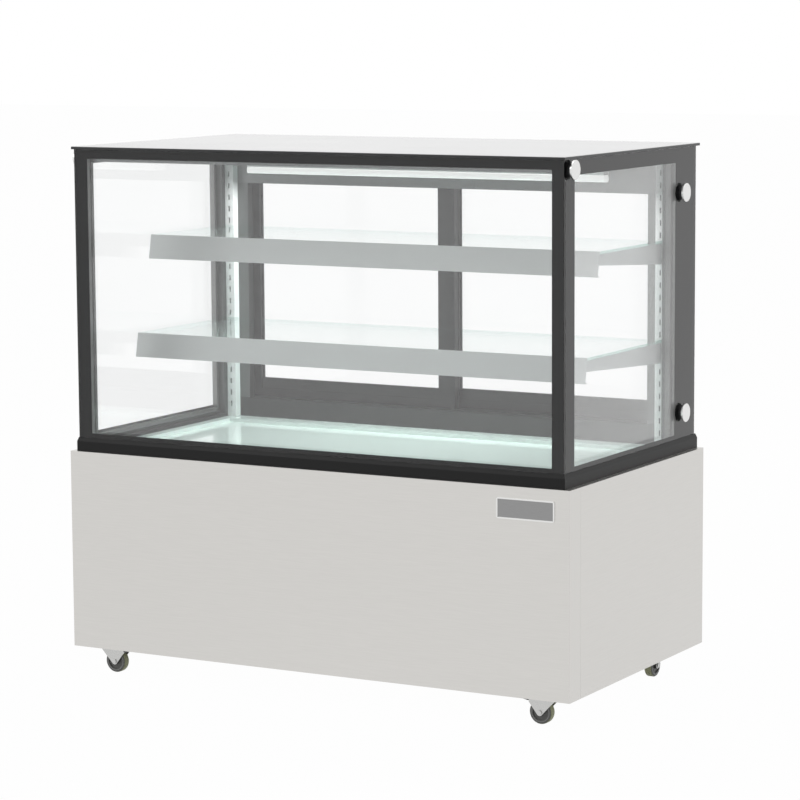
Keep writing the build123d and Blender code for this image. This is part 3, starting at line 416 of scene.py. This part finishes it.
SHELF_EDGE = (0.60, 0.74, 0.71)
# The outer panes are alike in life. How much each mirrors was set against the photograph.
for node, letters, rim, tint, edge_tint, mirror in (
    ("front_glass", "X", 0.0006, CLEAR, BLACK_RIM, 0.04),
    ("left_side_glass", "Y", 0.0006, CLEAR, BLACK_RIM, 0.014),
    ("right_side_glass", "Y", 0.0006, CLEAR, BLACK_RIM, 0.065),
    ("upper_shelf_glass", "XY", 0.001, SHELF_TINT, SHELF_EDGE, 0.034),
    ("lower_shelf_glass", "XY", 0.001, SHELF_TINT, SHELF_EDGE, 0.034),
):
    low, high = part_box(node)
    edges = {}
    for letter in letters:
        i = "XYZ".index(letter)
        edges[letter] = (low[i] + rim, high[i] - rim)
    dress(clear_glass(node.replace("glass", "pane"), tint, edge_tint, edges, mirror), node)
for node in ("front_left", "front_right", "rear_left", "rear_right"):
    low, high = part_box(f"{node}_caster_wheel")
    across = "Y" if node.startswith("front") else "X"
    dress(caster_wheel(f"{node}_wheel_plastic", (low + high) / 2, across), f"{node}_caster_wheel")


# Pieces

def piece(name, mesh, finish, body="case"):
    made = bpy.data.objects.new(name, mesh)
    bpy.context.scene.collection.objects.link(made)
    mesh.materials.clear()
    mesh.materials.append(finish)
    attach(made, body)
    return made


def from_bmesh(name, shape):
    mesh = bpy.data.meshes.new(name)
    bmesh.ops.recalc_face_normals(shape, faces=shape.faces)
    shape.to_mesh(mesh)
    shape.free()
    return mesh


def slab_box(shape, low, high):
    """Add a closed box to a bmesh, from its low and high corners."""
    made = bmesh.ops.create_cube(shape, size=1.0)["verts"]
    low, high = Vector(low), Vector(high)
    for vert in made:
        vert.co = Vector((low[i] + (vert.co[i] + 0.5) * (high[i] - low[i]) for i in range(3)))
    return made


def window_frame(name, axis, at, thick, outer, inner):
    """A flat frame of four mitred strips. outer and inner are (low u, high u, low z, high z)."""
    shape = bmesh.new()
    rings = []
    for depth in (at, at + thick):
        for box in (outer, inner):
            corners = [(box[0], box[2]), (box[1], box[2]), (box[1], box[3]), (box[0], box[3])]
            ring = []
            for u, z in corners:
                ring.append(shape.verts.new((u, depth, z) if axis == "Y" else (depth, u, z)))
            rings.append(ring)
    near_out, near_in, far_out, far_in = rings
    for first, second in ((near_out, near_in), (far_out, far_in), (near_out, far_out), (near_in, far_in)):
        for i in range(4):
            j = (i + 1) % 4
            shape.faces.new((first[i], first[j], second[j], second[i]))
    return from_bmesh(name, shape)


# Black borders printed in the outer panes, just short of their inner faces
PRINT_THICK = 0.0003
PRINT_SHY = 0.0002        # how far a print stays inside its pane's foot and crown
FRONT_PRINT_Y = -0.3144
SIDE_PRINT_X = 0.5764
front_low, front_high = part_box("front_glass")
foot, crown = front_low.z + PRINT_SHY, front_high.z - PRINT_SHY
front_print = window_frame(
    "front_print", "Y", FRONT_PRINT_Y, PRINT_THICK,
    (-0.5818, 0.5818, foot, crown), (-0.5525, 0.5525, 0.527, 1.119),
)
piece("front_glass_print", front_print, ink)
for side, name in ((-1, "left"), (1, "right")):
    side_print = window_frame(
        f"{name}_print", "X", side * SIDE_PRINT_X, -side * PRINT_THICK,
        (-0.3135, 0.3198, foot, crown), (-0.261, 0.229, 0.5255, 1.1065),
    )
    piece(f"{name}_glass_print", side_print, ink)


def repeated(made, finish, across, up, plane):
    """Repeat a piece's mesh on a grid with Geometry Nodes. across and up are (count, pitch)."""
    tree = bpy.data.node_groups.new("repeat_on_grid", "GeometryNodeTree")
    face = tree.interface
    face.new_socket("Unit", in_out="INPUT", socket_type="NodeSocketGeometry")
    sizes = {}
    for word, kind in (("Count Across", "Int"), ("Pitch Across", "Float"),
                       ("Count Up", "Int"), ("Pitch Up", "Float")):
        sizes[word] = face.new_socket(word, in_out="INPUT", socket_type=f"NodeSocket{kind}").identifier
    face.new_socket("Row", in_out="OUTPUT", socket_type="NodeSocketGeometry")
    given = tree.nodes.new("NodeGroupInput")
    result = tree.nodes.new("NodeGroupOutput")
    grid = tree.nodes.new("GeometryNodeMeshGrid")
    link = tree.links.new
    for count, pitch, count_socket, size_socket in (
        ("Count Across", "Pitch Across", "Vertices X", "Size X"),
        ("Count Up", "Pitch Up", "Vertices Y", "Size Y"),
    ):
        link(given.outputs[count], grid.inputs[count_socket])
        gaps = tree.nodes.new("ShaderNodeMath")
        gaps.operation = "SUBTRACT"
        link(given.outputs[count], gaps.inputs[0])
        gaps.inputs[1].default_value = 1.0
        run = tree.nodes.new("ShaderNodeMath")
        run.operation = "MULTIPLY"
        link(gaps.outputs[0], run.inputs[0])
        link(given.outputs[pitch], run.inputs[1])
        link(run.outputs[0], grid.inputs[size_socket])
    turn = tree.nodes.new("GeometryNodeTransform")
    turn.inputs["Rotation"].default_value = (math.pi / 2 if plane == "XZ" else 0.0, 0.0, 0.0)
    link(grid.outputs["Mesh"], turn.inputs["Geometry"])
    copies = tree.nodes.new("GeometryNodeInstanceOnPoints")
    link(turn.outputs[0], copies.inputs["Points"])
    link(given.outputs["Unit"], copies.inputs["Instance"])
    solid = tree.nodes.new("GeometryNodeRealizeInstances")
    link(copies.outputs[0], solid.inputs[0])
    coat = tree.nodes.new("GeometryNodeSetMaterial")
    coat.inputs["Material"].default_value = finish
    link(solid.outputs[0], coat.inputs["Geometry"])
    link(coat.outputs[0], result.inputs[0])
    modifier = made.modifiers.new("repeat", "NODES")
    modifier.node_group = tree
    modifier[sizes["Count Across"]] = across[0]
    modifier[sizes["Pitch Across"]] = float(across[1])
    modifier[sizes["Count Up"]] = up[0]
    modifier[sizes["Pitch Up"]] = float(up[1])


def settle(made, shift=(0.0, 0.0, 0.0)):
    """Turn a piece's modifiers into plain mesh, and put its place into the mesh."""
    bpy.context.view_layer.update()
    ready = made.evaluated_get(bpy.context.evaluated_depsgraph_get())
    mesh = bpy.data.meshes.new_from_object(ready)
    made.modifiers.clear()
    made.data = mesh
    mesh.transform(Matrix.Translation(shift))
    return made


def loose(name, mesh, finish):
    """An object that is still being made, so it rides on nothing yet."""
    made = bpy.data.objects.new(name, mesh)
    bpy.context.scene.collection.objects.link(made)
    mesh.materials.append(finish)
    return made


def lathe(profile_points, sides, axis_turn):
    """A closed turned shape. profile_points are (radius, height) from the foot to the crown."""
    shape = bmesh.new()
    rings = []
    for radius, height in profile_points:
        if radius < 1e-6:
            rings.append([shape.verts.new((0, 0, height))])
            continue
        ring = []
        for i in range(sides):
            angle = 2 * math.pi * i / sides
            ring.append(shape.verts.new((radius * math.cos(angle), radius * math.sin(angle), height)))
        rings.append(ring)
    for first, second in zip(rings, rings[1:]):
        for i in range(sides):
            j = (i + 1) % sides
            corners = [first[i % len(first)], first[j % len(first)], second[j % len(second)],
                       second[i % len(second)]]
            shape.faces.new(list(dict.fromkeys(corners)))
    bmesh.ops.transform(shape, matrix=axis_turn, verts=shape.verts)
    return shape


TO_BACK = Matrix.Rotation(-math.pi / 2, 4, "X")      # local +Z turns to +Y
DOWN = Matrix.Rotation(math.pi, 4, "X")
REAR_SHEET_Y = 0.33

# Pan-head screws with a cross recess, on the rear panel
head = [(0.0, 0.0), (0.004, 0.0), (0.004, 0.0007), (0.0033, 0.0015), (0.0018, 0.0019), (0.0, 0.00195)]
screw_mesh = from_bmesh("screw_head", lathe(head, 20, TO_BACK))
screws = loose("rear_panel_screw_heads", screw_mesh, zinc_plate)
cross = bmesh.new()
for long_way in (0, 2):
    reach = [0.0004, 0.0, 0.0004]
    reach[long_way] = 0.0019
    slab_box(cross, (-reach[0], 0.0009, -reach[2]), (reach[0], 0.003, reach[2]))
cutter = loose("cross_cutter", from_bmesh("cross_cutter", cross), zinc_plate)
cut = screws.modifiers.new("recess", "BOOLEAN")
cut.object = cutter
cut.use_self = True
settle(screws)
bpy.data.objects.remove(cutter)
repeated(screws, zinc_plate, (2, 1.172), (5, 0.09), "XZ")
settle(screws, (0.0, REAR_SHEET_Y, 0.275))
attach(screws, "case")
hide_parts("rear_panel_screws")


def louvre_hood(name, length, crown, lip, proud, sheet):
    """A pressed hood over a slot: it leans out from its crown down to an open lip, and closes at its ends."""
    shape = bmesh.new()
    rows = []
    steps = 18
    for i in range(steps + 1):
        along = -1 + 2 * i / steps
        swell = max(0.06, 1 - abs(along) ** 8) ** 0.5
        foot = crown + (lip - crown) * swell
        sections = []
        for share in (0.0, 0.35, 0.7, 0.92, 1.0):
            sections.append((proud * swell * math.sin(share * math.pi / 2), crown + (foot - crown) * share))
        for share in (1.0, 0.7, 0.35, 0.0):
            y = proud * swell * math.sin(share * math.pi / 2) - sheet
            sections.append((max(y, -sheet), crown + (foot - crown) * share))
        rows.append([shape.verts.new((along * length / 2, y + 0.00002, z)) for y, z in sections])
    count = len(rows[0])
    for first, second in zip(rows, rows[1:]):
        for i in range(count):
            j = (i + 1) % count
            shape.faces.new((first[i], first[j], second[j], second[i]))
    shape.faces.new(rows[0])
    shape.faces.new(list(reversed(rows[-1])))
    return from_bmesh(name, shape)


HOOD = {"length": 0.111, "crown": 0.0040, "lip": -0.0012, "proud": 0.00195, "sheet": 0.0005}
LOUVRE_PITCH_X, LOUVRE_PITCH_Z = 0.124, 0.015
TOP_LOUVRE_Z = 0.300
for name, middle_x, rows in (("wide", -0.215, 14), ("narrow", 0.150, 8)):
    hoods = loose(f"{name}_louvre_hoods", louvre_hood(f"{name}_hood", **HOOD), zinc_sheet)
    repeated(hoods, zinc_sheet, (2, LOUVRE_PITCH_X), (rows, LOUVRE_PITCH_Z), "XZ")
    settle(hoods, (middle_x, REAR_SHEET_Y, TOP_LOUVRE_Z - (rows - 1) * LOUVRE_PITCH_Z / 2))
    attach(hoods, "case")

# Hexagon bolts under the caster plates: four on each of the four plates
bolt = [(0.0, 0.0), (0.0046, 0.0), (0.0052, 0.0004), (0.0052, 0.0026), (0.0046, 0.003), (0.0, 0.003)]
bolts = loose("caster_bolts", from_bmesh("caster_bolt", lathe(bolt, 6, DOWN)), zinc_plate)
repeated(bolts, zinc_plate, (2, 0.046), (2, 0.036), "XY")
settle(bolts)
repeated(bolts, zinc_plate, (2, 1.07), (2, 0.515), "XY")
settle(bolts, (0.0, -0.0275, 0.0575))
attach(bolts, "case")


def strip(name, low, high, finish, body):
    """A thin bar with eased edges."""
    shape = bmesh.new()
    slab_box(shape, low, high)
    bmesh.ops.bevel(shape, geom=list(shape.edges), offset=0.0004, segments=1, affect="EDGES")
    return piece(name, from_bmesh(name, shape), finish, body)


# Brush strip on the left door's meeting stile
strip("left_door_brush", (-0.0205, 0.2922, 0.545), (-0.0145, 0.2955, 1.068), black_rubber, "left_door")

# Display window and digits of the temperature controller
window_glow = Finish("display_window")
window_glow.set(
    Base_Color=window_glow.blend(window_glow.grain(0.01), (0.01, 0.008, 0.008), (0.02, 0.014, 0.014)),
    Roughness=window_glow.spread(window_glow.grain(0.004), 0.08, 0.14),
)
strip("controller_window", (0.399, 0.3313, 0.3165), (0.441, 0.3317, 0.3375), window_glow.material, "case")
digit_glow = Finish("display_digits")
digit_glow.set(
    Base_Color=digit_glow.blend(digit_glow.grain(0.002), (0.7, 0.02, 0.01), (0.8, 0.04, 0.02)),
    Roughness=digit_glow.spread(digit_glow.grain(0.001), 0.4, 0.5),
    Emission_Color=(1.0, 0.05, 0.02),
    Emission_Strength=0.8,
)
BARS = {
    "a": (0.0, 0.00715, "across"), "g": (0.0, 0.0, "across"), "d": (0.0, -0.00715, "across"),
    "b": (1.0, 0.00355, "up"), "c": (1.0, -0.00355, "up"), "f": (-1.0, 0.00355, "up"),
}
digits = bmesh.new()
# the display is read from behind the case, where +X is on the left
for middle_x, figure in ((0.4265, "abcdg"), (0.4145, "acdfg")):
    for bar in figure:
        side, height, way = BARS[bar]
        x = middle_x - side * 0.0035
        z = 0.327 + height
        wide, tall = (0.0026, 0.0006) if way == "across" else (0.0006, 0.0028)
        slab_box(digits, (x - wide, 0.3316, z - tall), (x + wide, 0.33185, z + tall))
piece("controller_digits", from_bmesh("controller_digits", digits), digit_glow.material)

white_mark = moulded("white_mark", (0.82, 0.82, 0.80), (0.4, 0.55))
bezel_plastic = moulded("bezel_plastic", (0.10, 0.10, 0.102))


def ring(shape, middle, plane_turn, radius, width, thick, sides=28):
    """A flat closed ring, lying in the plane that plane_turn gives it."""
    circles = []
    for reach, height in ((radius, 0.0), (radius - width, 0.0), (radius - width, thick), (radius, thick)):
        circle = []
        for i in range(sides):
            angle = 2 * math.pi * i / sides
            spot = plane_turn @ Vector((reach * math.cos(angle), reach * math.sin(angle), height))
            circle.append(shape.verts.new(Vector(middle) + spot))
        circles.append(circle)
    for first, second in zip(circles, circles[1:] + circles[:1]):
        for i in range(sides):
            j = (i + 1) % sides
            shape.faces.new((first[i], first[j], second[j], second[i]))


# A line and a ring on each rocker, lying on its two slopes
SWITCHES = (("light", 0.365), ("power", 0.325))
ROCKER_PIN_Y, ROCKER_PIN_Z = 0.322, 0.325
ROCKER_FACE = 0.00748     # from the pin out to the middle of the rocker's face
tip = math.radians(6.0)
outward = Vector((0.0, math.cos(tip), math.sin(tip)))
along = Vector((0.0, -math.sin(tip), math.cos(tip)))
to_right = Vector((-1.0, 0.0, 0.0))
for word, switch_x in SWITCHES:
    marks = bmesh.new()
    for half in (1, -1):
        rise = (outward * 0.15 * half + along).normalized()
        lie = Matrix((to_right, rise, to_right.cross(rise))).transposed()
        pin = Vector((switch_x, ROCKER_PIN_Y, ROCKER_PIN_Z))
        spot = pin + outward * ROCKER_FACE + along * half * 0.006
        if half == 1:
            for vert in slab_box(marks, (-0.0005, -0.0026, 0.0), (0.0005, 0.0026, 0.00015)):
                vert.co = spot + lie @ vert.co
        else:
            ring(marks, spot, lie, 0.0028, 0.0008, 0.00015)
    name = f"{word}_switch_marks"
    piece(name, from_bmesh(name, marks), white_mark, f"{word}_rocker")

# Bezels round the two rockers
for word, switch_x in SWITCHES:
    name = f"{word}_bezel"
    bezel = window_frame(
        name, "Y", 0.33105, 0.0007,
        (switch_x - 0.0122, switch_x + 0.0122, 0.3098, 0.3402),
        (switch_x - 0.0103, switch_x + 0.0103, 0.3117, 0.3383),
    )
    piece(name, bezel, bezel_plastic)

# Arrow heads on the two keys
for key, body, way in (("controller_up_key", "up_key", 1), ("controller_down_key", "down_key", -1)):
    low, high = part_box(key)
    middle = (low + high) / 2
    arrow = bmesh.new()
    face_y = high.y - 0.00002
    ends = []
    for depth in (face_y, face_y + 0.00015):
        ends.append([arrow.verts.new((middle.x + x, depth, middle.z + way * z)) for x, z in
                     ((-0.0015, -0.0008), (0.0015, -0.0008), (0.0, 0.0014))])
    near, far = ends
    arrow.faces.new(near)
    arrow.faces.new(far)
    for i in range(3):
        j = (i + 1) % 3
        arrow.faces.new((near[i], near[j], far[j], far[i]))
    piece(f"{key}_arrow", from_bmesh(f"{key}_arrow", arrow), black_plastic, body)


# Floor and backdrop

def stage_plane(name, size, height):
    shape = bmesh.new()
    half = size / 2
    corners = [shape.verts.new((x * half, y * half, height)) for x, y in ((-1, -1), (1, -1), (1, 1), (-1, 1))]
    shape.faces.new(corners)
    mesh = bpy.data.meshes.new(name)
    shape.to_mesh(mesh)
    shape.free()
    made = bpy.data.objects.new(name, mesh)
    bpy.context.scene.collection.objects.link(made)
    return made


def background_rays(tree):
    """1 for the rays that see the background itself: from the camera, through glass and off gloss."""
    path = tree.nodes.new("ShaderNodeLightPath")
    seen = path.outputs["Is Camera Ray"]
    for ray in ("Is Transmission Ray", "Is Glossy Ray"):
        either = tree.nodes.new("ShaderNodeMath")
        either.operation = "MAXIMUM"
        tree.links.new(seen, either.inputs[0])
        tree.links.new(path.outputs[ray], either.inputs[1])
        seen = either.outputs[0]
    return seen


def pale_floor():
    """A plain pale floor: white to the camera and in glass and metal, and it keeps the soft shadow."""
    finish = Finish("pale_floor")
    finish.set(
        Base_Color=finish.blend(finish.grain(0.5), (0.47, 0.47, 0.47), (0.50, 0.50, 0.50)),
        Roughness=0.9,
    )
    glow = finish.node("ShaderNodeEmission")
    glow.inputs["Color"].default_value = (1.0, 1.0, 1.0, 1.0)
    mix = finish.node("ShaderNodeMixShader")
    finish.feed(finish.math("MULTIPLY", background_rays(finish.tree), 0.985), mix.inputs[0])
    finish.feed(finish.shader.outputs[0], mix.inputs[1])
    finish.feed(glow.outputs[0], mix.inputs[2])
    finish.feed(mix.outputs[0], finish.output.inputs["Surface"])
    return finish.material


floor = stage_plane("studio_floor", 60.0, 0.0)
floor.data.materials.append(pale_floor())

world = bpy.data.worlds.new("studio")
bpy.context.scene.world = world
world.use_nodes = True
sky = world.node_tree
sky.nodes.clear()
sky_out = sky.nodes.new("ShaderNodeOutputWorld")
light = sky.nodes.new("ShaderNodeBackground")
light.inputs["Color"].default_value = (0.96, 0.97, 1.0, 1.0)
light.inputs["Strength"].default_value = 0.48
white = sky.nodes.new("ShaderNodeBackground")
white.inputs["Color"].default_value = (1.0, 1.0, 1.0, 1.0)
choose = sky.nodes.new("ShaderNodeMixShader")
sky.links.new(background_rays(sky), choose.inputs[0])
sky.links.new(light.outputs[0], choose.inputs[1])
sky.links.new(white.outputs[0], choose.inputs[2])
sky.links.new(choose.outputs[0], sky_out.inputs["Surface"])


def soft_lamp(name, place, aim, size, power, mirrored=True):
    """A large soft lamp. One that isn't mirrored lights the case and floor but never shows in the glass."""
    lamp = bpy.data.lights.new(name, "AREA")
    lamp.shape = "RECTANGLE"
    lamp.size, lamp.size_y = size
    lamp.energy = power
    made = bpy.data.objects.new(name, lamp)
    bpy.context.scene.collection.objects.link(made)
    made.visible_glossy = mirrored
    made.location = place
    made.rotation_euler = (Vector(aim) - Vector(place)).to_track_quat("-Z", "Y").to_euler()
    return made


soft_lamp("key_softbox", (-3.0, -4.0, 3.4), (0.0, 0.0, 0.6), (3.0, 2.4), 45.0)
soft_lamp("fill_softbox", (4.0, -2.5, 2.6), (0.0, 0.0, 0.6), (2.6, 2.6), 12.0, mirrored=False)
soft_lamp("top_softbox", (0.0, 0.0, 3.8), (0.0, 0.0, 0.0), (3.0, 3.0), 30.0)
soft_lamp("rear_softbox", (0.5, 4.2, 2.4), (0.0, 0.0, 0.6), (3.0, 2.4), 50.0, mirrored=False)
case_light = soft_lamp("case_light", (0.0, 0.166, 1.064), (0.0, 0.0, 0.5), (0.86, 0.02), 9.5, mirrored=False)
case_light.visible_camera = False


# Camera

yaw, pitch, roll = (math.radians(angle) for angle in (29.135, -7.513, -0.345))
forward = Vector((-math.sin(yaw) * math.cos(pitch), math.cos(yaw) * math.cos(pitch), math.sin(pitch)))
level_right = Vector((math.cos(yaw), math.sin(yaw), 0.0))
level_up = level_right.cross(forward)
right = level_right * math.cos(roll) + level_up * math.sin(roll)
upward = level_up * math.cos(roll) - level_right * math.sin(roll)
lens = bpy.data.cameras.new("photo_camera")
lens.sensor_width = 36.0
lens.lens = 136.2
lens.clip_end = 200.0
camera = bpy.data.objects.new("photo_camera", lens)
bpy.context.scene.collection.objects.link(camera)
turned = Matrix((right, upward, -forward)).transposed().to_4x4()
CAMERA_PLACE = (3.1793, -5.6435, 1.4490)
camera.matrix_world = Matrix.Translation(CAMERA_PLACE) @ turned
bpy.context.scene.camera = camera
bpy.context.scene.view_settings.view_transform = "Standard"
# Several panes stand one behind the other, so a line of sight passes many clear faces
bpy.context.scene.cycles.transparent_max_bounces = 32
